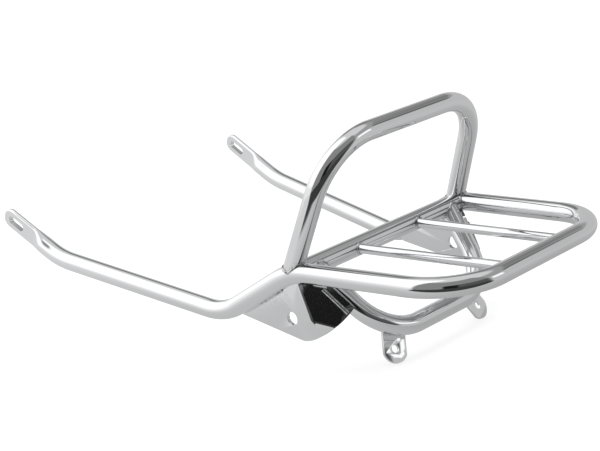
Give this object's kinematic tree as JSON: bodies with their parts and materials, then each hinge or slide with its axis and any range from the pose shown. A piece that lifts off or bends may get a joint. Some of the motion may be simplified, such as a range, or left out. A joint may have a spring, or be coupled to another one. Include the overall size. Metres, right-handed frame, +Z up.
{
  "type": "motorcycle luggage rack",
  "caption": "Chromed steel tube rear rack: flat platform with slats and an upright hoop, long front stays with slotted flat ends, side plates with bolt holes and a lower loop with tabs",
  "frame": {"origin": "on the line through the two side plate bolt holes, midway between them", "axes": "+X rearward along the motorcycle, +Y to its right side along the bolt line, +Z up"},
  "size_m": [0.6097, 0.3648, 0.2427],
  "materials": {
    "chrome": "mirror chrome plate over steel"
  },
  "bodies": {
    "root": {"main_tube": "chrome", "cross_tube": "chrome", "slat_left": "chrome", "slat_right": "chrome", "grab_hoop": "chrome", "lower_loop": "chrome", "gusset_left": "chrome", "gusset_right": "chrome", "tab_left": "chrome", "tab_right": "chrome", "weld_hoop_left": "chrome", "weld_hoop_right": "chrome", "weld_cross_left": "chrome", "weld_cross_right": "chrome", "weld_slat_front_left": "chrome", "weld_slat_front_right": "chrome", "weld_slat_rear_left": "chrome", "weld_slat_rear_right": "chrome", "weld_loop_left": "chrome", "weld_loop_right": "chrome", "weld_gusset_left": "chrome", "weld_gusset_right": "chrome", "weld_wing_left": "chrome", "weld_wing_right": "chrome", "weld_tab_left": "chrome", "weld_tab_right": "chrome"}
  },
  "joints": []
}
